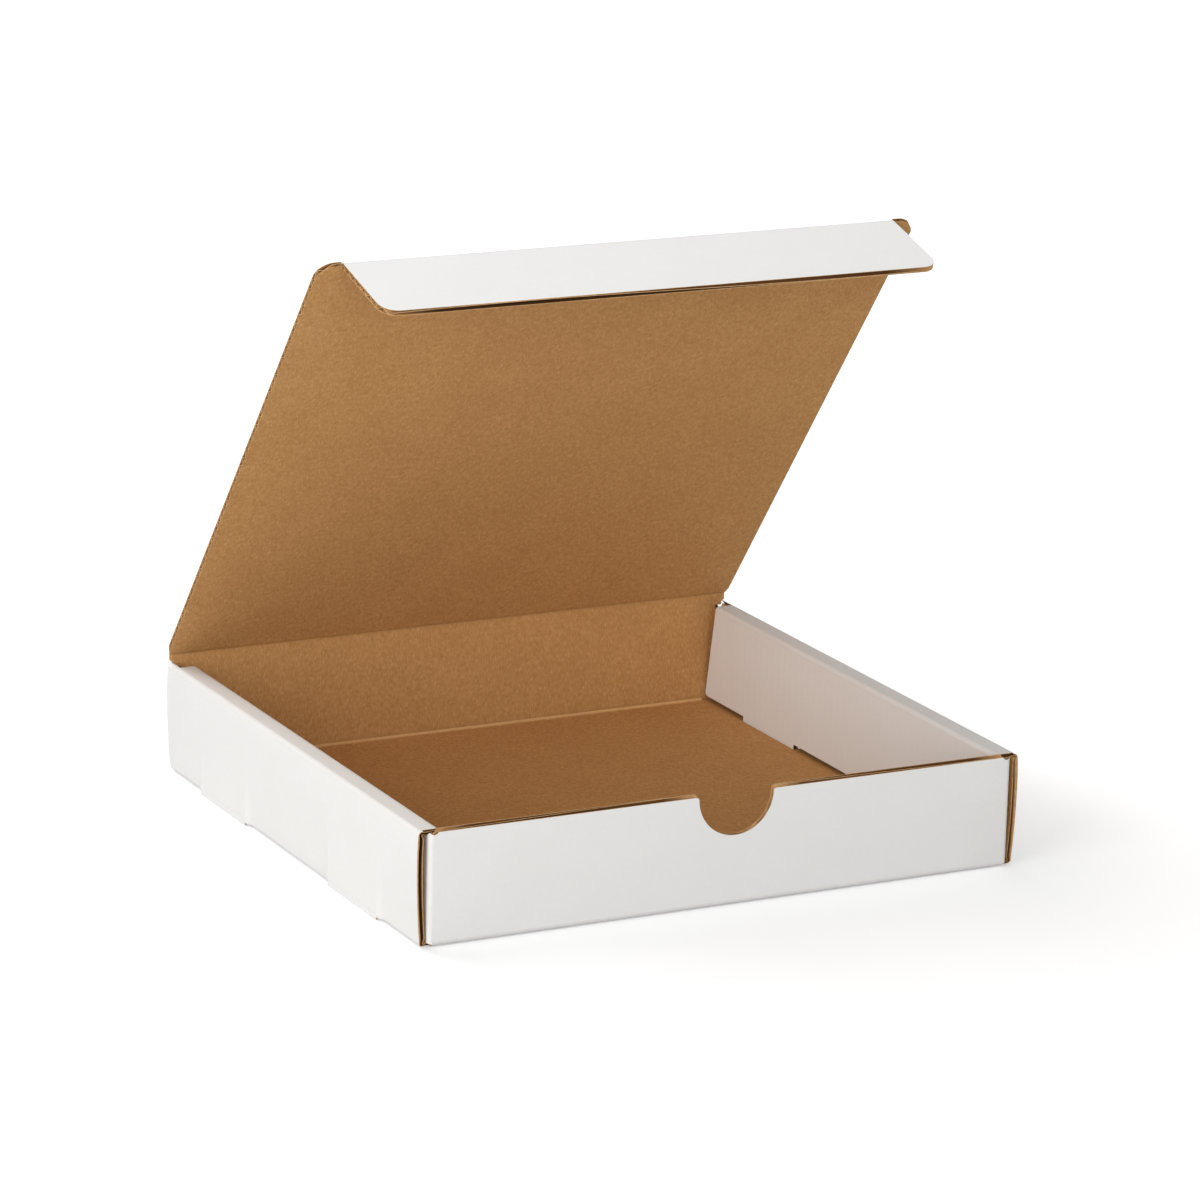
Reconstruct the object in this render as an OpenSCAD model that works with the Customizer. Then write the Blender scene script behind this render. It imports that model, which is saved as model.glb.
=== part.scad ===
// Corrugated mailer for documents, folded from one die-cut board.
// The origin is at the middle of the underside. X is the width, -Y the front, Z up.
// The lid and its tuck flap are drawn at the angles at which the box stands open.

/* [Inside] */
// Clear width between the inner side panels
inner_w = 305; // [240:1:400]
// Clear depth between the front and back walls
inner_d = 305; // [240:1:400]
// Height of the front wall over the underside
front_h = 58.5; // [50:0.5:100]

/* [Board] */
// Thickness of the corrugated board
board_t = 3; // [2:0.1:4]
// Gap between an outer side wall and the corner flaps caught inside it
flap_gap_out = 2.5; // [0.5:0.1:4]
// Gap between those corner flaps and the inner side panel
flap_gap_in = 1; // [0.5:0.1:3]
// How far the top of a side wall lies below the front wall's edge
side_drop = 0.5; // [0:0.1:3]
// Gap between pieces of board that meet edge to face
cut_gap = 1; // [0.4:0.1:2]
// How far the outer side walls stop short of the front and back faces
side_setback = 2; // [0.5:0.1:3]

/* [Locking tabs] */
// Length of a locking tab along the side
tab_l = 56; // [20:1:60]
// Distance from each end of an inner side panel to its nearer tab
tab_inset = 44; // [30:1:50]
// Clearance of a tab in its slot
tab_clear = 0.5; // [0.2:0.1:1]
// Gap under the inner side panels, away from the tabs
panel_gap = 2.5; // [1:0.1:5]
// How far the inner panel's top corner stands forward of its bottom corner at the back
panel_slant = 9; // [0:0.5:15]
// Radius of the inner panel's bottom corners
panel_r = 3; // [1:0.5:5]

/* [Corner flaps] */
// Length of a corner flap along the side
corner_flap_l = 62; // [30:1:90]
// How much narrower a corner flap is than the cavity that it stands in, at each edge
corner_flap_clear = 1.5; // [0.5:0.1:4]

/* [Thumb notch] */
// Radius of the half-round notch
notch_r = 20.5; // [10:0.5:24]
// Depth of the straight sides over the half round
notch_side = 2; // [1:0.5:6]
// Place of the notch from the middle of the front
notch_x = 4.5; // [-30:0.5:30]
// Radius of the notch's two upper corners
notch_lip_r = 2; // [1:0.5:4]

/* [Front wall] */
// Radius of the front wall's upper corners
front_corner_r = 6; // [2:0.5:10]

/* [Lid] */
// How far the lid's edges stop short of the side walls' outer faces
lid_inset = 0.5; // [0:0.1:4]
// Gap between the closed lid and the front wall's edge
lid_rest_gap = 2; // [0.3:0.1:4]
// Radius of the lid's front corners
lid_corner_r = 5; // [2:0.5:12]
// How far the lid narrows at each end of its hinge crease
lid_neck = 3.5; // [1:0.5:8]
// Length over which it narrows
lid_neck_l = 7; // [3:0.5:15]
// Angle from closed to the standing lid
lid_angle = 52.5; // [20:0.5:85]

/* [Tuck flap] */
// Gap between the closed tuck flap's edge and the base
tuck_floor_gap = 9; // [5:0.1:20]
// Clearance of the tuck flap from each inner side panel
tuck_clear = 0.8; // [0.5:0.1:4]
// Clearance of the closed tuck flap behind the front wall
tuck_gap = 2.5; // [1:0.1:5]
// Radius of the tuck flap's free corners
tuck_r = 13; // [4:0.5:20]
// Angle that the standing tuck flap is folded from the lid
tuck_angle = 68.5; // [20:0.5:90]
// Largest angle that the tuck flap folds to
tuck_fold_max = 101; // [100:0.5:110]

/* [Creases] */
// Gap left along a crease that bends
crease_gap = 0.2; // [0.1:0.05:0.5]

/* [Hidden] */
$fn = 64;
// Length that reaches past a cut on both sides
past = 1;

side_wall_t = 3 * board_t + flap_gap_out + flap_gap_in;
outer_w = inner_w + 2 * side_wall_t;
outer_d = inner_d + 2 * board_t;
side_h = front_h - side_drop;
hinge_h = front_h + lid_rest_gap + board_t;

// Outer faces of the front and back walls' corner creases, and of the folded side panels
wall_w = outer_w - 2 * (board_t + flap_gap_out);
strip_l = inner_d - 2 * cut_gap;
side_l = outer_d - 2 * side_setback;

tab_mid = strip_l / 2 - tab_inset - tab_l / 2;
tab_y = [-tab_mid, tab_mid];
slot_w = side_wall_t - board_t + tab_clear;
slot_l = tab_l + 2 * tab_clear;

lid_w = outer_w - 2 * lid_inset;
lid_l = outer_d - board_t - tuck_gap;
tuck_l = hinge_h - board_t - tuck_floor_gap;
tuck_w = inner_w - 2 * tuck_clear;
// A crease that closes to 90 degrees is mitred at half of that
hinge_mitre = 45;
tuck_mitre = tuck_fold_max / 2;

// Outside of a crease, seen along it: a quarter disc in the first quadrant,
// with a short tail into each of the two panels that it joins
module crease_corner() {
    intersection() {
        circle(board_t);
        square(board_t);
    }
    translate([0, -board_t]) square([board_t, board_t]);
    translate([-board_t, 0]) square([board_t, board_t]);
}

// Fillet that fills a right-angled inner corner, or cuts an outer one, at the origin
module corner_cut(r) {
    difference() {
        translate([-past, -past]) square(r + past);
        translate([r, r]) circle(r);
    }
}

// Runs an outline (X, Z) along Y from y to y + l
module run(y, l) {
    translate([0, y + l, 0]) rotate([90, 0, 0]) linear_extrude(l) children();
}

// Stands an outline (Y, Z) up as a sheet of board whose lower face in X is at x
module side_sheet(x) {
    translate([x, 0, 0]) rotate([90, 0, 90]) linear_extrude(board_t) children();
}

module both_sides() {
    children();
    mirror([1, 0, 0]) children();
}

// Base with its slots at the sides for the locking tabs
module base() {
    difference() {
        translate([-outer_w / 2 + board_t, -outer_d / 2 + board_t, 0])
            cube([outer_w - 2 * board_t, outer_d - 2 * board_t, board_t]);
        both_sides() slots();
    }
}

// Slots at one side, cut through the base and its side crease
module slots() {
    for (y = tab_y)
        translate([outer_w / 2 - board_t - slot_w, y - slot_l / 2, -past])
            cube([slot_w + board_t + past, slot_l, board_t + past]);
}

// Outer wall of one side with its two creases. At the slots its cut edge stands on the ground.
module side_outer() {
    x = outer_w / 2 - board_t;
    run(-side_l / 2, side_l) {
        translate([x, board_t]) square([board_t, side_h - 2 * board_t]);
        translate([x, side_h - board_t]) crease_corner();
    }
    difference() {
        run(-side_l / 2, side_l)
            translate([x, board_t]) mirror([0, 1]) crease_corner();
        slots();
    }
    for (y = tab_y)
        translate([x, y - slot_l / 2, 0]) cube([board_t, slot_l, 2 * board_t]);
}

// Top strip of one side, with the crease that leads to the inner panel
module side_strip() {
    x_in = outer_w / 2 - side_wall_t + board_t;
    z = side_h - board_t;
    back_y = strip_l / 2 - panel_slant;
    run(-strip_l / 2, strip_l / 2 + back_y) {
        translate([x_in, z]) square([side_wall_t - 2 * board_t, board_t]);
        translate([x_in, z]) mirror([1, 0]) crease_corner();
    }
}

// Inner panel of one side with its two locking tabs
module side_inner() {
    z_low = board_t + panel_gap;
    z_top = side_h - board_t;
    front_y = -strip_l / 2;
    back_y = strip_l / 2;
    side_sheet(outer_w / 2 - side_wall_t) {
        difference() {
            polygon([[front_y, z_low], [back_y, z_low], [back_y - panel_slant, z_top], [front_y, z_top]]);
            translate([front_y, z_low]) corner_cut(panel_r);
            translate([back_y, z_low]) mirror([1, 0]) corner_cut(panel_r);
        }
        for (y = tab_y)
            translate([y - tab_l / 2, tab_clear / 2]) square([tab_l, z_low]);
    }
}

// Corner flaps that both ends of one wall send into the side walls
module corner_flap() {
    z_low = board_t + corner_flap_clear;
    z_high = side_h - board_t - corner_flap_clear;
    x = wall_w / 2 - board_t;
    y = -outer_d / 2 + board_t;
    translate([x, y, z_low]) cube([board_t, corner_flap_l, z_high - z_low]);
    translate([x, y, z_low]) linear_extrude(z_high - z_low) mirror([0, 1]) crease_corner();
}

// Base crease of the front or back wall, seen as a run along X
module wall_crease() {
    translate([-wall_w / 2 + board_t, -outer_d / 2 + board_t, board_t])
        rotate([90, 0, 90]) linear_extrude(wall_w - 2 * board_t)
            rotate(180) crease_corner();
}

// Front wall with its thumb notch and rounded upper corners
module front_wall() {
    flat_w = wall_w - 2 * board_t;
    run(-outer_d / 2, board_t)
        difference() {
            translate([-flat_w / 2, board_t]) square([flat_w, front_h - board_t]);
            translate([notch_x, front_h - notch_side]) circle(notch_r);
            translate([notch_x - notch_r, front_h - notch_side]) square([2 * notch_r, notch_side + past]);
            for (s = [-1, 1])
                translate([notch_x + s * notch_r, front_h]) mirror([(1 - s) / 2, 0]) mirror([0, 1])
                    corner_cut(notch_lip_r);
            for (s = [0, 1]) mirror([s, 0])
                translate([flat_w / 2, front_h]) rotate(180) corner_cut(front_corner_r);
        }
    wall_crease();
    both_sides() corner_flap();
}

// Back wall, mitred along its top where the lid's crease bends
module back_wall() {
    flat_w = wall_w - 2 * board_t;
    drop = crease_gap / 2;
    difference() {
        run(outer_d / 2 - board_t, board_t)
            translate([-flat_w / 2, board_t]) square([flat_w, hinge_h - drop - board_t]);
        translate([-outer_w / 2, outer_d / 2, hinge_h - drop]) rotate([90 - hinge_mitre, 0, 0])
            translate([0, -2 * board_t - past, 0]) cube([outer_w, 2 * board_t + 2 * past, 2 * board_t]);
    }
    mirror([0, 1, 0]) {
        wall_crease();
        both_sides() corner_flap();
    }
}

module tray() {
    color("white") {
        base();
        both_sides() {
            side_outer();
            side_strip();
            side_inner();
        }
        front_wall();
        back_wall();
    }
}

// Cuts a panel's end along its crease: the crease is the X axis, the panel lies towards -Y, under z = 0
module mitre(w, angle) {
    side = 2 * board_t + past;
    translate([-w / 2, -crease_gap / 2, 0]) rotate([-angle, 0, 0])
        translate([0, 0, -side]) cube([w, side, 2 * side]);
}

// Lays a flat outline out as a sheet of board, outer face up at z = 0
module flat_sheet() {
    translate([0, 0, -board_t]) linear_extrude(board_t) children();
}

// Places a panel at the hinge crease, opened by the lid's angle
module on_hinge() {
    translate([0, outer_d / 2, hinge_h]) rotate([-lid_angle, 0, 0]) children();
}

module lid_outline() {
    x = lid_w / 2;
    difference() {
        polygon([
            [-x + lid_neck, 0], [-x, -lid_neck_l], [-x, -lid_l],
            [x, -lid_l], [x, -lid_neck_l], [x - lid_neck, 0]]);
        for (s = [0, 1]) mirror([s, 0])
            translate([-x, -lid_l]) corner_cut(lid_corner_r);
    }
}

module lid() {
    color("white") on_hinge()
        difference() {
            flat_sheet() lid_outline();
            mitre(outer_w, hinge_mitre);
            translate([0, -lid_l, 0]) mirror([0, 1, 0]) mitre(tuck_w + 2 * cut_gap, tuck_mitre);
        }
}

module tuck_outline() {
    x = tuck_w / 2;
    difference() {
        translate([-x, -tuck_l]) square([tuck_w, tuck_l]);
        for (s = [0, 1]) mirror([s, 0])
            translate([-x, -tuck_l]) corner_cut(tuck_r);
    }
}

module tuck_flap() {
    color("white") on_hinge()
        translate([0, -lid_l, 0]) rotate([tuck_angle, 0, 0])
            difference() {
                flat_sheet() tuck_outline();
                mitre(outer_w, tuck_mitre);
            }
}

tray();
lid();
tuck_flap();
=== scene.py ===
from math import radians
import bpy
import numpy as np
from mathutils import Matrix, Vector


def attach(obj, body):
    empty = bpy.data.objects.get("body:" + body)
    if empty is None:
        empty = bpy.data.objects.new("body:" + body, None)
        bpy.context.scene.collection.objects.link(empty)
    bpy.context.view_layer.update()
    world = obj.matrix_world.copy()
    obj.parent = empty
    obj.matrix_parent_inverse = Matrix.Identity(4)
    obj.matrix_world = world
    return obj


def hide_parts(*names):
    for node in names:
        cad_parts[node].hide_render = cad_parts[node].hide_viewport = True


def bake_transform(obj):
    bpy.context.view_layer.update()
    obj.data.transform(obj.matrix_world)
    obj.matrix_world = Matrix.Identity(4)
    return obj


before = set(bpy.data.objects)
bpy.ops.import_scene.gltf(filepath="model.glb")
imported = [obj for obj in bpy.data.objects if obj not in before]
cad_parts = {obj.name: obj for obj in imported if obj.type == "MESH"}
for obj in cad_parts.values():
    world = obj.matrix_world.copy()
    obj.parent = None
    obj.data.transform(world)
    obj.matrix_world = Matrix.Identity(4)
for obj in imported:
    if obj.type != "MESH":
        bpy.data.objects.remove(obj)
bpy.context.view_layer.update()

# White corrugated mailer, kraft inside, standing open. Sizes are in mm until a mesh is made, and m in the
# studio. Every panel is built as real board: an outer liner, a fluted medium and an inner liner.
mm = 0.001
print("frame loaded:", sorted(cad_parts))


def lines(*parts):
    # Sorted grid lines, with those that fall together left out
    made = np.unique(np.round(np.concatenate(parts), 4))
    return made[np.concatenate([[True], np.diff(made) > 0.02])]


def spread(low, high, step, *marks):
    # Even grid lines from low to high, no further apart than step, with the marks added
    count = max(2, int(np.ceil((high - low) / step)) + 1)
    return lines(np.linspace(low, high, count), [m for m in marks if low < m < high])


def grid(across, along):
    return np.meshgrid(across, along, indexing="ij")


# Board
board = {
    "thickness": 3.0,
    "liner": 0.3,           # thickness of each liner
    "medium": 0.34,         # thickness of the fluted sheet
    "pitch": 6.4,           # one flute to the next
    "skew": 0.018,          # how far the flutes run out of line with the cut edges
    "start": 1.7,           # where the first flute begins
    "washboard": 0.06,      # how far the liners sink between the flutes
    "crush": 0.4,           # how much thinner the board is in a crease
    "creaseReach": 1.3,     # how far a crease's painted shade reaches beside it
    "stepFine": 0.6,        # grid step across the flutes
    "stepSide": 0.85,       # the same in the sides, which have more lines the other way
    "stepAlong": 30.0,      # grid step along the flutes
}
thickness = board["thickness"]


def foldPath(start, heading, sizes, turns, radius, ramp=0.0):
    # Outer face of folded board seen along its creases: sizes are from one sharp corner to the next, turns
    # in degrees are at those corners, and each is rounded by radius. panel gives the length s at which each
    # panel would begin at its sharp corner. ramp is how far a crease's crushing reaches beside its bend.
    at, going, run, cut = np.array(start, float), np.array(heading, float), 0.0, 0.0
    path = {"s": [], "point": [], "heading": [], "normal": [], "radius": [], "panel": [], "bends": []}
    for size, turn in zip(sizes, [*turns, 0]):
        normal = np.array([going[1], -going[0]])
        turn = radians(turn)
        path["panel"].append(run - cut)
        straight = size - cut - radius * np.tan(turn / 2)
        cut = radius * np.tan(turn / 2)
        for length, r in ((straight, 0.0), (radius * turn, radius)):
            if length > 0:
                leg = {"s": run, "point": at, "heading": going, "normal": normal, "radius": r}
                for key, value in leg.items():
                    path[key].append(value)
                if r:
                    path["bends"].append((run, run + length))
                    at = at + r * (normal * np.cos(turn) + going * np.sin(turn) - normal)
                    going = going * np.cos(turn) - normal * np.sin(turn)
                else:
                    at = at + going * length
                run += length
    path = {key: np.array(value) for key, value in path.items()}
    return {**path, "end": run, "ramp": ramp}


def alongPath(path, s):
    # Point p and outward normal n at length s. A straight leg: p = p0 + h (s - s0), n = n0. A bend of
    # radius r: n = n0 cos a + h sin a and p = p0 + r (n - n0), where a = (s - s0) / r.
    leg = np.clip(np.searchsorted(path["s"], s + 1e-9, side="right") - 1, 0, len(path["s"]) - 1)
    past, r = (s - path["s"][leg])[..., None], path["radius"][leg][..., None]
    angle = np.where(r > 0, past / np.maximum(r, 1e-9), 0.0)
    n0, h0, p0 = path["normal"][leg], path["heading"][leg], path["point"][leg]
    n = n0 * np.cos(angle) + h0 * np.sin(angle)
    return np.where(r > 0, p0 + r * (n - n0), p0 + h0 * past), n


def squeeze(path, s):
    # Share of the board's thickness left: 1 on the flat. Without a ramp it falls by a half sine through
    # each bend, and with one it is low all through the bend and rises as a bell beside it.
    left = np.ones_like(s)
    for low, high in path["bends"]:
        if path["ramp"]:
            away = np.maximum(np.abs(s - (low + high) / 2) - (high - low) / 2, 0)
            bell = np.exp(-(away / path["ramp"]) ** 2)
        else:
            bell = np.where((s > low) & (s < high), np.sin(np.pi * (s - low) / (high - low)), 0)
        left = np.minimum(left, 1 - board["crush"] * bell)
    return left


def nearCrease(path, s):
    # 1 in the middle of a bend, falling off beside it as exp(-(distance / creaseReach)^2)
    near = np.zeros_like(s)
    for low, high in path["bends"]:
        away = np.maximum(np.abs(s - (low + high) / 2) - (high - low) / 4, 0)
        near = np.maximum(near, np.exp(-(away / board["creaseReach"]) ** 2))
    return near


def slab(top, bottom, keep, skins, flat, crease):
    # Closed sheet between two grids of points. Cells outside keep are left out, and every edge that only
    # one cell uses gets a rim face between the two grids. skins are the materials of top, bottom and rim.
    # Points carry their place on the flat blank, how near a crease they are, and 1 for cut on a rim.
    n, m = top.shape[:2]
    number = np.arange(n * m).reshape(n, m)
    cells = np.stack([number[:-1, :-1], number[1:, :-1], number[1:, 1:], number[:-1, 1:]], -1)[keep]
    edges = np.stack([cells, np.roll(cells, -1, axis=1)], -1).reshape(-1, 2)
    key, back = edges[:, 0] * n * m + edges[:, 1], edges[:, 1] * n * m + edges[:, 0]
    rim = edges[~np.isin(key, back)]
    cut = np.zeros(n * m)
    cut[rim.ravel()] = 1
    rimFaces = np.stack([rim[:, 1], rim[:, 0], rim[:, 0] + n * m, rim[:, 1] + n * m], -1)
    faces = np.concatenate([cells, cells[:, ::-1] + n * m, rimFaces])
    skin = np.concatenate([np.full(len(f), k) for f, k in zip((cells, cells, rimFaces), skins)])
    points = np.concatenate([top.reshape(-1, 3), bottom.reshape(-1, 3)])
    # turned the right way round by the sign of the volume that the faces close in
    a, b, c, d = (points[faces[:, k]] for k in range(4))
    if np.einsum("ij,ij->", a, np.cross(b, c)) + np.einsum("ij,ij->", a, np.cross(c, d)) < 0:
        faces = faces[:, ::-1]
    used, faces = np.unique(faces, return_inverse=True)
    marks = {"blank": flat, "crease": crease, "cut": cut}
    return {"points": points[used], "faces": faces.reshape(-1, 4), "skin": skin,
            **{key: np.concatenate([value, value])[used] for key, value in marks.items()}}


def boardSheets(fold, s, w, keep=None, ridge=0.0, lean=0.0):
    # The three sheets of board over a grid of path lengths s and places w along the creases.
    # Flutes: depth = middle + A sin(2 pi (Y + skew X) / pitch), where X and Y are the place on the flat blank.
    # Liners sink by washboard (1 +/- sin) / 2 between the tips that hold them. ridge lifts the inner liner,
    # and lean is how far the outer face falls short of w: w - lean (1 - depth / thickness).
    if keep is None:
        keep = np.ones((s.shape[0] - 1, s.shape[1] - 1), bool)
    path, toSpace, toBlank = fold
    across, alongFlutes = toBlank(s, w)[::-1]
    wave = np.sin(2 * np.pi * (across + board["start"] + board["skew"] * alongFlutes) / board["pitch"])
    left = squeeze(path, s)
    p, n = alongPath(path, s)
    t, liner = thickness, board["liner"]
    medium = board["medium"]
    height = t / 2 - liner - medium / 2
    waved = t / 2 + height * wave
    sinkOut, sinkIn = (board["washboard"] * (1 + k * wave) / 2 for k in (1, -1))
    inner = t - sinkIn + ridge
    # crease mark: positive near a crease, for painted shade, and negative on a raised bead, for a painted
    # highlight
    crease = (nearCrease(path, s) - np.minimum(ridge, 1)).ravel()
    sheets = []
    for high, low, skins in (
            (sinkOut, sinkOut + liner, (0, 2, 3)),
            (waved - medium / 2, waved + medium / 2, (2, 2, 3)),
            (inner - liner, inner, (2, 1, 3))):
        faces = []
        for depth in (high, low):
            q = p - n * (depth * left)[..., None]
            faces.append(toSpace(q[..., 0], q[..., 1], w - lean * (1 - depth / t)))
        flat = np.stack([alongFlutes, across, (high + low) / 2], -1).reshape(-1, 3)
        sheets.append(slab(faces[0], faces[1], keep, skins, flat, crease))
    return sheets


def piece(name, sheets, standsFor):
    # One mesh from many sheets, with the flat blank's coordinates and the creases as attributes
    start = np.cumsum([0] + [len(k["points"]) for k in sheets[:-1]])
    points = np.concatenate([k["points"] for k in sheets]) * mm
    faces = np.concatenate([k["faces"] + a for k, a in zip(sheets, start)])
    mesh = bpy.data.meshes.new(name)
    mesh.vertices.add(len(points))
    mesh.vertices.foreach_set("co", points.astype(np.float32).ravel())
    mesh.loops.add(faces.size)
    mesh.loops.foreach_set("vertex_index", faces.astype(np.int32).ravel())
    mesh.polygons.add(len(faces))
    mesh.polygons.foreach_set("loop_start", np.arange(0, faces.size, 4, dtype=np.int32))
    mesh.polygons.foreach_set("material_index", np.concatenate([k["skin"] for k in sheets]).astype(np.int32))
    mesh.update(calc_edges=True)
    mesh.validate()
    blank = mesh.attributes.new("blank", "FLOAT_VECTOR", "POINT")
    blank.data.foreach_set("vector", np.concatenate([k["blank"] for k in sheets]).astype(np.float32).ravel())
    for key in ("crease", "cut"):
        mark = mesh.attributes.new(key, "FLOAT", "POINT")
        mark.data.foreach_set("value", np.concatenate([k[key] for k in sheets]).astype(np.float32))
    mesh.polygons.foreach_set("use_smooth", np.ones(len(faces), bool))
    mesh.set_sharp_from_angle(angle=radians(38))
    for material in boardMaterials:
        mesh.materials.append(material)
    made = bpy.data.objects.new(name, mesh)
    bpy.context.scene.collection.objects.link(made)
    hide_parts(standsFor)
    print(f"{name}: {len(faces) * 2} triangles")
    return made


# Materials
paper = {
    "white": (0.815, 0.81, 0.795),
    "whiteCloud": (0.785, 0.775, 0.755),
    # whiteCrease is the colour of the specks and of the painted shade in the creases
    "whiteCrease": (0.73, 0.715, 0.69),
    "kraft": (0.57, 0.308, 0.116),
    "kraftDark": (0.42, 0.205, 0.064),
    "kraftLight": (0.72, 0.44, 0.2),
    "flute": (0.76, 0.47, 0.22),
    "fluteDark": (0.36, 0.18, 0.06),
    "inside": (0.12, 0.05, 0.016),           # painted shade between the liners, away from a cut edge
    "edge": (0.74, 0.47, 0.23),
    "edgeDark": (0.40, 0.21, 0.08),
}


def addNode(tree, kind, inputs=None, **settings):
    made = tree.nodes.new(kind)
    for key, value in settings.items():
        setattr(made, key, value)
    for key, value in (inputs or {}).items():
        if isinstance(value, bpy.types.NodeSocket):
            tree.links.new(value, made.inputs[key])
        else:
            made.inputs[key].default_value = value
    return made


def mixColour(tree, share, first, second, blend="MIX"):
    made = addNode(tree, "ShaderNodeMix", data_type="RGBA", blend_type=blend)
    for key, value in ((0, share), (6, first), (7, second)):
        if isinstance(value, bpy.types.NodeSocket):
            tree.links.new(value, made.inputs[key])
        else:
            made.inputs[key].default_value = value if key == 0 else (*value, 1)
    return made.outputs[2]


def maths(tree, operation, first, second=0.0, clamp=False):
    made = addNode(tree, "ShaderNodeMath", {0: first, 1: second}, operation=operation, use_clamp=clamp)
    return made.outputs[0]


def patch(tree, vector, scale, detail, low, high, stretch=(1, 1, 1)):
    # Noise stretched along the blank and spread out between low and high to 0..1
    placed = addNode(tree, "ShaderNodeMapping", {"Vector": vector, "Scale": stretch})
    noise = addNode(tree, "ShaderNodeTexNoise",
                    {"Vector": placed.outputs[0], "Scale": scale, "Detail": detail, "Roughness": 0.55})
    spreadOut = addNode(tree, "ShaderNodeMapRange",
                        {"Value": noise.outputs[0], "From Min": low, "From Max": high})
    return spreadOut.outputs[0]


def paperMaterial(name, base, cloud, light, creased, finish):
    # Paper on the blank's own coordinates in mm: broad clouds, mottle, fibres and specks, with painted shade in
    # patches along the creases and a painted highlight on raised beads. With a cavity shade colour, it goes over
    # to that painted shade away from a cut edge.
    material = bpy.data.materials.new(name)
    material.use_nodes = True
    tree = material.node_tree
    shader = tree.nodes["Principled BSDF"]
    place = addNode(tree, "ShaderNodeAttribute", attribute_name="blank").outputs["Vector"]
    crease = addNode(tree, "ShaderNodeAttribute", attribute_name="crease").outputs["Fac"]
    cut = addNode(tree, "ShaderNodeAttribute", attribute_name="cut").outputs["Fac"]
    clouds = patch(tree, place, 0.03, 4, 0.35, 0.65)
    mottle = patch(tree, place, 0.45, 5, 0.3, 0.7)
    fibres = patch(tree, place, 1.0, 3, 0.5, 0.75, (2.2, 0.35, 1))
    specks = patch(tree, place, 1.9, 2, 0.66, 0.78, (1.5, 0.5, 1))
    colour = mixColour(tree, maths(tree, "MULTIPLY", clouds, finish["clouds"]), base, cloud)
    colour = mixColour(tree, maths(tree, "MULTIPLY", mottle, finish["mottle"]), colour, cloud)
    colour = mixColour(tree, maths(tree, "MULTIPLY", fibres, finish["fibres"]), colour, light)
    colour = mixColour(tree, maths(tree, "MULTIPLY", specks, finish["specks"]), colour, creased)
    # painted shade: near each crease the colour darkens in patches towards the creased colour
    creaseShade = maths(tree, "MULTIPLY", crease, patch(tree, place, 0.8, 4, 0.2, 0.5), clamp=True)
    colour = mixColour(tree, maths(tree, "MULTIPLY", creaseShade, finish["creased"]), colour, creased)
    # painted highlight: on the raised bead beside the base's folds the paper is lightened towards the light
    # colour
    beadHighlight = maths(tree, "MULTIPLY", crease, -0.8, clamp=True)
    colour = mixColour(tree, beadHighlight, colour, light)
    # painted shade: the fluted sheet and the liners' faces towards it go dark inside the flutes, away from a cut
    # edge
    if "inside" in finish:
        colour = mixColour(tree, cut, finish["inside"], colour)
    tree.links.new(colour, shader.inputs["Base Color"])
    rough = addNode(tree, "ShaderNodeMapRange", {"Value": mottle, "To Min": finish["rough"][0],
                                                 "To Max": finish["rough"][1]})
    tree.links.new(rough.outputs[0], shader.inputs["Roughness"])
    shader.inputs["Specular IOR Level"].default_value = finish["specular"]
    relief = maths(tree, "ADD", maths(tree, "MULTIPLY", fibres, 0.5), mottle)
    bump = addNode(tree, "ShaderNodeBump", {"Height": relief, "Strength": finish["bump"], "Distance": 0.00012})
    tree.links.new(bump.outputs[0], shader.inputs["Normal"])
    return material


boardMaterials = [
    paperMaterial("whiteLiner", paper["white"], paper["whiteCloud"], paper["white"], paper["whiteCrease"],
                  {"clouds": 0.35, "mottle": 0.35, "fibres": 0.2, "specks": 0.12, "creased": 0.5,
                   "rough": (0.5, 0.62), "specular": 0.35, "bump": 0.35}),
    paperMaterial("kraftLiner", paper["kraft"], paper["kraftDark"], paper["kraftLight"], paper["fluteDark"],
                  {"clouds": 0.3, "mottle": 0.85, "fibres": 0.7, "specks": 0.7, "creased": 0.75,
                   "rough": (0.78, 0.92), "specular": 0.25, "bump": 0.6}),
    paperMaterial("flutedMedium", paper["flute"], paper["fluteDark"], paper["kraft"], paper["fluteDark"],
                  {"clouds": 0.4, "mottle": 0.5, "fibres": 0.6, "specks": 0.5, "creased": 0.2,
                   "inside": paper["inside"], "rough": (0.85, 0.95), "specular": 0.2, "bump": 0.8}),
    paperMaterial("cutEdge", paper["edge"], paper["edgeDark"], paper["kraftLight"], paper["edgeDark"],
                  {"clouds": 0.4, "mottle": 0.7, "fibres": 0.5, "specks": 0.5, "creased": 0.2,
                   "rough": (0.85, 0.95), "specular": 0.2, "bump": 0.8}),
]
print("materials made")

fine, coarse = board["stepFine"], board["stepAlong"]

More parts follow.
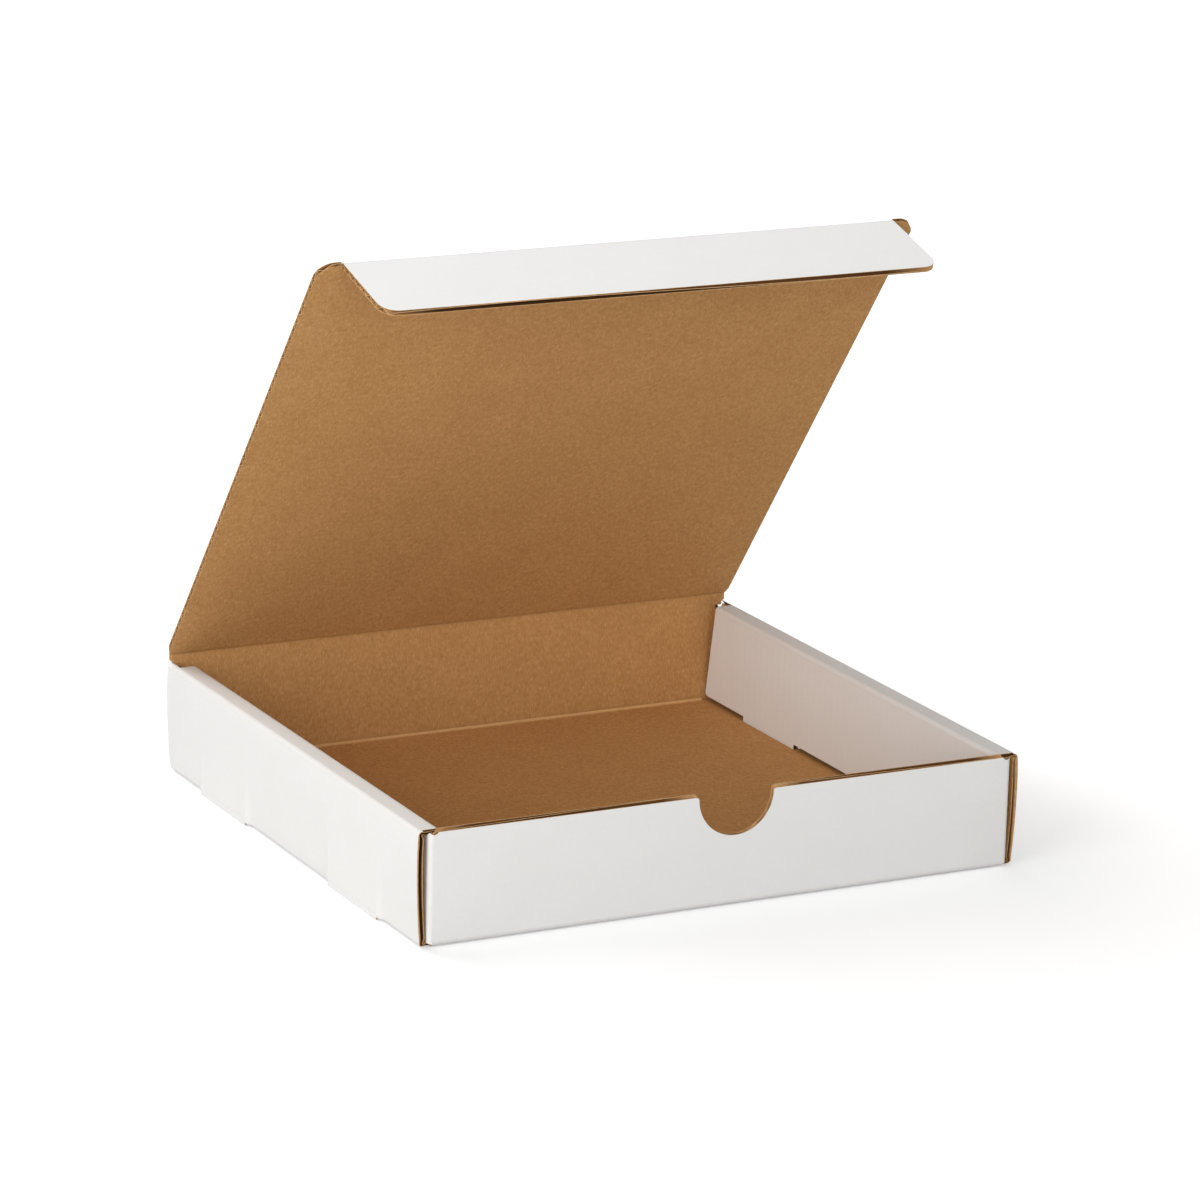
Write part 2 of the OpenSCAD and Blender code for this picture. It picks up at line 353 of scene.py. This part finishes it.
# Tray
tray = {
    "outerX": 165.0, "outerY": 155.5,        # half sizes outside
    "sideY": 153.5, "sideH": 58.0, "sideWall": 12.5,
    "stripFront": -151.5, "stripBack": 142.5,
    "panelBack": 151.5, "panelLow": 5.5, "panelRadius": 3.0,
    "slotIn": 152.0, "slotHalf": 28.5, "tabHalf": 28.0, "tabY": 79.5, "tabLow": 0.25,
    "frontH": 58.5, "wallX": 159.5, "bite": 2.3, "bevel": 1.2,
    "notchX": 4.5, "notchRadius": 20.5, "notchSide": 2.0, "notchLip": 2.0,
    "flapLow": 4.5, "flapHigh": 53.5, "flapLength": 62.0,
    "cornerLow": 1.6, "cornerHigh": 57.4,    # how far down and up the walls' corner creases reach
    "ridge": 1.3, "ridgeIn": 1.4,            # bead that the folds push up along the base
    "ridgeWidth": 0.85, "ridgeLines": 12, "ridgeStep": 0.35,
    "tuckIn": 2.0, "bulgeZ": 42.0, "topIn": 0.7,   # side walls: drawn in at the bottom and a little at the top
    "drawReach": 9.5,                        # the base follows them over so much of its edge
    "freeReach": 5.0, "freeShare": 0.85,     # but they hang free beside the slots
    "roundBack": 5.0, "roundFront": 2.5, "roundReach": 14.0,   # lower corners of the side walls
    "tightBend": 2.2, "crushRamp": 1.0,      # creases of the sides and corners: outer radius, crushed beside it
    "besideBends": (0.9, 2.2),               # grid lines beside those creases
    "wallLines": (12, 22, 32, 42, 48),       # grid lines up the side walls
    "panelRows": (0, 0.015, 0.03, 0.05, 0.3, 0.65, 1),   # and down the inner panels
    "baseInset": 2.0,                        # from the slots to where the base's own sheet ends
    "flapRows": 86, "flapReach": 4.0,        # corner flaps: rows, and how soon they are at their full height
    "notchSteps": 48, "bevelReach": 3.0,
}
lid = {
    "hingeH": 63.5, "lidAngle": 52.5, "tuckAngle": 68.5,
    "lidL": 305.5, "lidX": 164.5, "neck": 1.5, "neckL": 5.0, "lidRadius": 9.0,
    "tuckL": 51.5, "tuckX": 151.7, "tuckRadius": 9.0, "earX": 151.9,
    "hingeStrip": 6.0, "tuckStrip": 7.0,     # how far the soft strips of the two creases reach
    "shoulder": 5.1,                         # the back wall is at its widest from here up to the hinge
    "armpit": 7.6, "armpitX": 161.4,         # and it already fills the side walls' inside from here up
    "columns": 13,                           # grid lines across the lid, the flap and their creases
}
baseX, baseY = tray["outerX"] - thickness, tray["outerY"] - thickness
hingeTurn, tuckTurn = 90 - lid["lidAngle"], lid["tuckAngle"]

# Base, back wall, lid and tuck flap are one profile carried along X
mainPath = foldPath((0, 0), (1, 0), [tray["outerY"], lid["hingeH"], lid["lidL"], lid["tuckL"]],
                    [90, hingeTurn, tuckTurn], thickness)
mainFold = (mainPath, lambda a, b, w: np.stack([w, a, b], -1), lambda s, w: (w, s))
lidS, tuckS = mainPath["panel"][2:]
# The lid's ears go straight on where the tuck flap bends away
earPath = foldPath((0, 0), (1, 0), [tray["outerY"], lid["hingeH"], lid["lidL"]],
                   [90, hingeTurn], thickness)
earFold = (earPath, *mainFold[1:])

# Base crease of the front wall
frontPath = foldPath((0, 0), (1, 0), [tray["outerY"], thickness], [90], thickness)
frontFold = (frontPath, lambda a, b, w: np.stack([w, -a, b], -1), lambda s, w: (w, -s))

# Front and back walls with their corner flaps are a profile in plan, carried up Z
endPath = foldPath((0, -tray["outerY"]), (1, 0), [tray["wallX"], thickness + tray["flapLength"]], [90],
                   tray["tightBend"], ramp=tray["crushRamp"])
wallFlat = tray["wallX"] - tray["tightBend"]

# The back wall without its corners
flatBack = (foldPath((0, -tray["outerY"]), (1, 0), [2 * tray["outerX"]], [], thickness),
            lambda a, b, w: np.stack([a, -b, w], -1), lambda s, w: (s, baseY + w))


def endFold(sideX, sideY):
    return (endPath, lambda a, b, w: np.stack([sideX * a, sideY * b, w], -1),
            lambda s, w: (sideX * s, -sideY * (baseY + w)))


# A side is one profile from the base over the wall and the strip to the inner panel, carried along Y
sidePath = foldPath((0, 0), (1, 0), [tray["outerX"], tray["sideH"], tray["sideWall"], tray["sideH"]],
                    [90, 90, 90], tray["tightBend"], ramp=tray["crushRamp"])
lipPath = foldPath((tray["outerX"], 0), (0, 1), [2 * thickness], [], thickness)


def sideSpace(side):
    # Warp of a side: x goes in by tuckIn (1 - z / bulgeZ)^2 under the bulge and a little over it, except
    # beside the slots, where the wall hangs free. The lower corners are rounded by y = r - (r^2 - (r - z)^2)^0.5.
    def place(a, b, w):
        share = np.clip((a - baseX) / tray["drawReach"] + 1, 0, 1)
        share = share * share * (3 - 2 * share)
        pastSlot = np.abs(np.abs(w) - tray["tabY"]) - tray["slotHalf"]
        free = tray["freeShare"] * np.clip(1 - pastSlot / tray["freeReach"], 0, 1)
        low = np.clip(1 - b / tray["bulgeZ"], 0, 1) ** 2 * tray["tuckIn"] * (1 - free)
        high = np.clip((b - tray["bulgeZ"]) / (tray["sideH"] - tray["bulgeZ"]), 0, 1) ** 2 * tray["topIn"]
        r = np.where(w > 0, tray["roundBack"], tray["roundFront"])
        cut = r - np.sqrt(np.maximum(r * r - np.maximum(r - b, 0) ** 2, 0))
        end = np.clip((np.abs(w) - tray["sideY"]) / tray["roundReach"] + 1, 0, 1) ** 2
        return np.stack([side * (a - share * (low + high)), w - np.sign(w) * cut * end * share, b], -1)
    return place


def sideFold(path, side):
    return (path, sideSpace(side), lambda s, w: (side * s, w))


def bendLines(path, k, count=5, beside=()):
    low, high = path["bends"][k]
    return [*(low - np.array(beside)), *np.linspace(low, high, count + 1), *(high + np.array(beside))]


def sideSheets(side):
    fold = sideFold(sidePath, side)
    wall, strip, panel = sidePath["panel"][1:]
    beside = tray["besideBends"]
    # from the base over the wall and the strip
    top = sidePath["bends"][2][1]
    sLines = lines([tray["slotIn"] - tray["baseInset"], tray["slotIn"], baseX],
                   bendLines(sidePath, 0, beside=beside), wall + np.array([thickness, *tray["wallLines"]]),
                   bendLines(sidePath, 1, beside=beside), [sidePath["bends"][2][0] - beside[0]],
                   bendLines(sidePath, 2))
    slots = [m * tray["tabY"] + k * tray["slotHalf"] for m in (-1, 1) for k in (-1, 1)]
    y = tray["sideY"]
    wLines = spread(-y, y, board["stepSide"], *slots, -baseY, baseY, tray["stripFront"], tray["stripBack"])
    s, w = grid(sLines[sLines <= top + 1e-4], wLines)
    sMid, wMid = (s[1:, 1:] + s[:-1, 1:]) / 2, (w[1:, 1:] + w[1:, :-1]) / 2
    inSlot = np.abs(np.abs(wMid) - tray["tabY"]) < tray["slotHalf"]
    keep = ~(inSlot & (sMid > tray["slotIn"]) & (sMid < wall + thickness))
    keep &= (sMid > baseX) | (np.abs(wMid) < baseY)
    keep &= (sMid < strip + tray["tightBend"]) | ((wMid > tray["stripFront"]) & (wMid < tray["stripBack"]))
    sheets = boardSheets(fold, s, w, keep)
    # inner panel: each flute line runs from the strip's crease down to the panel's edge
    high, r, low = tray["sideH"] - tray["tightBend"], tray["panelRadius"], tray["panelLow"]
    back, front = tray["panelBack"], tray["stripFront"]
    y = spread(front, back - 0.4, board["stepSide"], tray["stripBack"], front + r, back - r, front + r / 4,
               front + r / 2)
    zTop = np.clip(high - (y - tray["stripBack"]) * (high - low) / (back - tray["stripBack"]), low, high)
    corner = np.maximum(np.maximum(front + r - y, y - (back - r)), 0)
    zLow = np.minimum(low + r - np.sqrt(np.maximum(r * r - corner ** 2, 0)), zTop - 0.05)
    f, w = grid(np.array(tray["panelRows"]), y)
    sheets += boardSheets(fold, panel + tray["sideH"] - (zTop + f * (zLow - zTop)), w)
    for m in (-1, 1):
        middle = m * tray["tabY"]
        # locking tab that goes down into its slot
        s, w = grid(panel + tray["sideH"] - np.array([low, 3.0, tray["tabLow"]]),
                    spread(middle - tray["tabHalf"], middle + tray["tabHalf"], fine))
        sheets += boardSheets(fold, s, w)
        # square cut edge of the wall beside the slot
        s, w = grid(np.array([0.0, 1.5, thickness]),
                    spread(middle - tray["slotHalf"], middle + tray["slotHalf"], fine))
        sheets += boardSheets(sideFold(lipPath, side), s, w)
    return sheets


def baseSheets():
    near = baseY - np.arange(1, tray["ridgeLines"] + 1) * tray["ridgeStep"]
    x = tray["slotIn"] - tray["baseInset"]
    s, w = grid(lines(spread(-baseY, baseY, fine), near, -near), spread(-x, x, coarse))
    # bead beside the two folds: ridge exp(-(d / ridgeWidth)^2) about a line ridgeIn in front of the wall
    ridge = tray["ridge"] * np.exp(-((baseY - np.abs(s) - tray["ridgeIn"]) / tray["ridgeWidth"]) ** 2)
    sheets = boardSheets(mainFold, s, w, ridge=ridge)
    for fold, path in ((mainFold, mainPath), (frontFold, frontPath)):
        s, w = grid(np.array(bendLines(path, 0)), spread(-wallFlat, wallFlat, coarse))
        sheets += boardSheets(fold, s, w)
    return sheets


def cornerFlapSheets(sideX, sideY):
    # Corner crease and the flap behind it. At the front the relief's other half is cut from its top:
    # z = h - (bite^2 - (s - low)^2)^0.5, under the fold that comes down to clear the strip.
    low, high = endPath["bends"][0]
    full = high + tray["flapReach"]
    sLines = lines(bendLines(endPath, 0, 6, beside=tray["besideBends"]), spread(high, endPath["end"], 20))
    s, f = grid(sLines[sLines >= low - 1e-4], np.linspace(0, 1, tray["flapRows"]))
    zLow = np.interp(s, [low, high, full], [tray["cornerLow"], tray["cornerLow"] + 0.8, tray["flapLow"]])
    zHigh = np.interp(s, [low, low + 2.6, high + 1.5, full],
                      [tray["cornerHigh"], tray["cornerHigh"] - 0.4, tray["flapHigh"] + 1.2, tray["flapHigh"]])
    if sideY > 0:
        cut = np.sqrt(np.maximum(tray["bite"] ** 2 - (s - low) ** 2, 0))
        zHigh = np.minimum(zHigh, tray["frontH"] - cut)
    else:
        zHigh = np.minimum(zHigh, lid["hingeH"] - lid["armpit"] - 0.3)
    return boardSheets(endFold(sideX, sideY), s, zLow + f * (zHigh - zLow))


def backSheets():
    # The wall stands on the flat up to the hinge's crease strip, so its rows can be wider than its corners
    top, armpit = (lid["hingeH"] - lid[k] for k in ("hingeStrip", "armpit"))
    sheets = []
    for low, high, half in ((thickness, armpit, wallFlat), (armpit, top, lid["armpitX"])):
        w, s = grid(spread(low, high, fine), spread(-half, half, coarse))
        sheets += boardSheets(flatBack, s, w)
    return sheets + cornerFlapSheets(1, -1) + cornerFlapSheets(-1, -1)


def frontSheets():
    # Wall under the notch, then its two parts beside it. Each row is one height z, so rows follow the
    # flutes. Notch: x = notchX +/- (r^2 - (z - centre)^2)^0.5, with quarter circles for its lips. At the
    # outer corners a relief bites in: x = wallFlat - (bite^2 - (h - z)^2)^0.5. The top edge is pressed down by
    # bevel on the outside, less and less over bevelReach.
    fold = endFold(1, 1)
    h, r, lip, bite = tray["frontH"], tray["notchRadius"], tray["notchLip"], tray["bite"]
    centre = h - tray["notchSide"]
    floor = centre - r
    w, s = grid(spread(thickness, floor, fine), spread(-wallFlat, wallFlat, coarse, tray["notchX"]))
    sheets = boardSheets(fold, s, w)
    turn = np.linspace(0, np.pi / 2, tray["notchSteps"])
    few = turn[::4]
    rows = np.concatenate([floor + r * (1 - np.cos(turn)), h - bite * np.sin(few), h - lip * (1 - np.cos(few))])
    z = np.unique(np.round(rows[rows > floor - 1e-6], 3))
    z = z[np.concatenate([[True], np.diff(z) > 0.03])]
    half = np.sqrt(np.maximum(r * r - np.minimum(z - centre, 0) ** 2, 0))
    lipped = np.maximum(z - (h - lip), 0)
    half = half + lip - np.sqrt(np.maximum(lip * lip - lipped ** 2, 0))
    outer = wallFlat - np.sqrt(np.maximum(bite * bite - (h - z) ** 2, 0))
    for side in (-1, 1):
        near = tray["notchX"] + side * half
        w, f = grid(z, np.linspace(0, 1, 9))
        sheets += boardSheets(fold, near[:, None] + f * (side * outer - near)[:, None], w,
                              lean=tray["bevel"] * np.clip((w - h) / tray["bevelReach"] + 1, 0, 1))
    return sheets + cornerFlapSheets(1, 1) + cornerFlapSheets(-1, 1)


def panelSheets(s, half):
    # Panel of the lid or flap: rows at lengths s of the profile, each from -half to half
    place = np.linspace(-1, 1, lid["columns"])
    w, s = half[:, None] * place, np.repeat(s[:, None], len(place), axis=1)
    return boardSheets(mainFold, s, w)


def roundedHalf(l, long, x, r):
    # Half width at distance l of a panel so long, with its far corners rounded: x - r + (r^2 - past^2)^0.5
    past = np.maximum(l - (long - r), 0)
    return x - r + np.sqrt(np.maximum(r * r - past ** 2, 0))


def lidSheets():
    long, r, x = lid["lidL"], lid["lidRadius"], lid["lidX"]
    end = long - lid["tuckStrip"]
    l = spread(lid["hingeStrip"], end, fine, lid["neckL"])
    half = x - lid["neck"] * np.clip(1 - l / lid["neckL"], 0, 1)
    sheets = panelSheets(lidS + l, half)
    # ears beside the tuck crease, with their rounded corners
    turn = np.linspace(0, np.pi / 2, 12)
    l = lines(spread(end, long, fine), long - r + r * np.sin(turn))
    half = roundedHalf(l, long, x, r)
    for side in (-1, 1):
        l2, f = grid(l, np.linspace(0, 1, 3))
        w = side * (lid["earX"] + f * (half - lid["earX"])[:, None])
        sheets += boardSheets(earFold, earPath["panel"][2] + l2, w)
    return sheets


def flapSheets():
    long, r, x = lid["tuckL"], lid["tuckRadius"], lid["tuckX"]
    turn = np.linspace(0, np.pi / 2, 28)
    l = lines(spread(lid["tuckStrip"], long - r, fine), long - r + r * np.sin(turn))
    return panelSheets(tuckS + l, roundedHalf(l, long, x, r))


def creaseSheets(bend, size, reach, half):
    # Strip of board over one crease, reach to each side of its sharp corner. size is the panel before it.
    low, high = mainPath["panel"][bend] + size - reach, mainPath["panel"][bend + 1] + reach
    sLines = lines(spread(low, high, fine), bendLines(mainPath, bend))
    return panelSheets(sLines, half(sLines))


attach(piece("trayBase", baseSheets(), "tray"), "tray")
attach(piece("trayRight", sideSheets(1), "tray"), "tray")
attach(piece("trayLeft", sideSheets(-1), "tray"), "tray")
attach(piece("trayFront", frontSheets(), "tray"), "tray")
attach(piece("trayBack", backSheets(), "tray"), "tray")
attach(piece("lidPanel", lidSheets(), "lid"), "lid")
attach(piece("tuckPanel", flapSheets(), "tuck_flap"), "tuck_flap")


def hingeHalf(s):
    # From the back wall over its shoulders to the lid's neck and full width, in straight steps
    past = s - sum(mainPath["bends"][1]) / 2
    neckX = lid["lidX"] - lid["neck"]
    return np.interp(past, [-lid["shoulder"] - 0.3, -lid["shoulder"], 0, lid["neckL"]],
                     [lid["armpitX"], neckX, neckX, lid["lidX"]])


def tuckHalf(s):
    return np.full_like(s, lid["tuckX"])


reach = lid["hingeStrip"]
hingeStrip = piece("hingeCrease", creaseSheets(1, lid["hingeH"], reach, hingeHalf), "lid")
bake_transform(hingeStrip)

reach = lid["tuckStrip"]
tuckStrip = piece("tuckCrease", creaseSheets(2, lid["lidL"], reach, tuckHalf), "tuck_flap")
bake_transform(tuckStrip)
print("creases made")

# Camera at the photograph's angle. The photograph is square, 1200 by 1200.
camera = {
    "azimuth": -27.37, "elevation": 15.48, "roll": 1.48, "distance": 2681.3,
    "aimZ": 66.0, "pan": (8.09, 46.65),      # height looked at, and how far off it to the right and up
    "lens": 158.36, "sensor": 36.0,
}
azimuth, elevation, roll = (radians(camera[k]) for k in ("azimuth", "elevation", "roll"))
back = np.array([np.sin(azimuth) * np.cos(elevation), -np.cos(azimuth) * np.cos(elevation), np.sin(elevation)])
right = np.array([np.cos(azimuth), np.sin(azimuth), 0])
up = np.cross(back, right)
right, up = right * np.cos(roll) + up * np.sin(roll), up * np.cos(roll) - right * np.sin(roll)
cameraData = bpy.data.cameras.new("camera")
cameraData.lens = camera["lens"]
cameraData.sensor_width = camera["sensor"]
cameraObject = bpy.data.objects.new("camera", cameraData)
matrix = np.eye(4)
matrix[:3, :3] = np.stack([right, up, back], -1)
aim = np.array([0, 0, camera["aimZ"]]) + right * camera["pan"][0] + up * camera["pan"][1]
matrix[:3, 3] = (aim + back * camera["distance"]) * mm
cameraObject.matrix_world = matrix.T.tolist()
bpy.context.scene.collection.objects.link(cameraObject)
bpy.context.scene.camera = cameraObject

# Light and floor
studio = {
    "sky": 0.29,            # level of the white surroundings
    "lamps": {              # power, size and place in m
        "key": (37.0, 1.8, (-2.3, -1.0, 1.0)),
        "fill": (23.0, 1.6, (-0.6, -2.45, 0.75)),
        "top": (46.0, 1.6, (-0.4, 1.4, 2.4)),
    },
    "lampAim": (0, 0, 0.1),
    "floor": (0.72, 0.72, 0.72), "floorSize": 40.0, "floorZ": -0.0003,
    "lift": (0.42, 0.85), "liftReach": (0.5, 2.6),   # glow seen by the camera, near the box and far from it
}
scene = bpy.context.scene
scene.view_settings.view_transform = "Standard"
world = bpy.data.worlds.new("studio")
scene.world = world
world.use_nodes = True
tree = world.node_tree
light = addNode(tree, "ShaderNodeLightPath")
seen = maths(tree, "MAXIMUM", light.outputs["Is Camera Ray"],
             maths(tree, "MAXIMUM", light.outputs["Is Glossy Ray"], light.outputs["Is Transmission Ray"]))
sky = tree.nodes["Background"]
sky.inputs["Color"].default_value = (1, 1, 1, 1)
sky.inputs["Strength"].default_value = studio["sky"]
white = addNode(tree, "ShaderNodeBackground", {"Color": (1, 1, 1, 1), "Strength": 1.0})
mixed = addNode(tree, "ShaderNodeMixShader", {0: seen, 1: sky.outputs[0], 2: white.outputs[0]})
tree.links.new(mixed.outputs[0], tree.nodes["World Output"].inputs["Surface"])

for name, (energy, size, at) in studio["lamps"].items():
    lampData = bpy.data.lights.new(name, "AREA")
    lampData.energy, lampData.size = energy, size
    lamp = bpy.data.objects.new(name, lampData)
    lamp.location = at
    lamp.rotation_euler = (Vector(studio["lampAim"]) - Vector(at)).to_track_quat("-Z", "Y").to_euler()
    scene.collection.objects.link(lamp)

half = studio["floorSize"] / 2
floorMesh = bpy.data.meshes.new("floor")
corners = [(x * half, y * half, studio["floorZ"]) for x, y in ((-1, -1), (1, -1), (1, 1), (-1, 1))]
floorMesh.from_pydata(corners, [], [(0, 1, 2, 3)])
floor = bpy.data.objects.new("floor", floorMesh)
scene.collection.objects.link(floor)
floorMaterial = bpy.data.materials.new("paleFloor")
floorMaterial.use_nodes = True
tree = floorMaterial.node_tree
shader = tree.nodes["Principled BSDF"]
shader.inputs["Base Color"].default_value = (*studio["floor"], 1)
shader.inputs["Roughness"].default_value = 0.9
shader.inputs["Specular IOR Level"].default_value = 0.0
light = addNode(tree, "ShaderNodeLightPath")
away = addNode(tree, "ShaderNodeVectorMath", {0: addNode(tree, "ShaderNodeTexCoord").outputs["Object"]},
               operation="LENGTH").outputs["Value"]
glowing = addNode(tree, "ShaderNodeMapRange", {
    "Value": away, "From Min": studio["liftReach"][0], "From Max": studio["liftReach"][1],
    "To Min": studio["lift"][0], "To Max": studio["lift"][1]}, interpolation_type="SMOOTHSTEP").outputs[0]
lift = maths(tree, "MULTIPLY", light.outputs["Is Camera Ray"], glowing)
glow = addNode(tree, "ShaderNodeEmission", {"Color": (1, 1, 1, 1), "Strength": lift})
added = addNode(tree, "ShaderNodeAddShader", {0: shader.outputs[0], 1: glow.outputs[0]})
tree.links.new(added.outputs[0], tree.nodes["Material Output"].inputs["Surface"])
floorMesh.materials.append(floorMaterial)
print("camera, light and floor made")
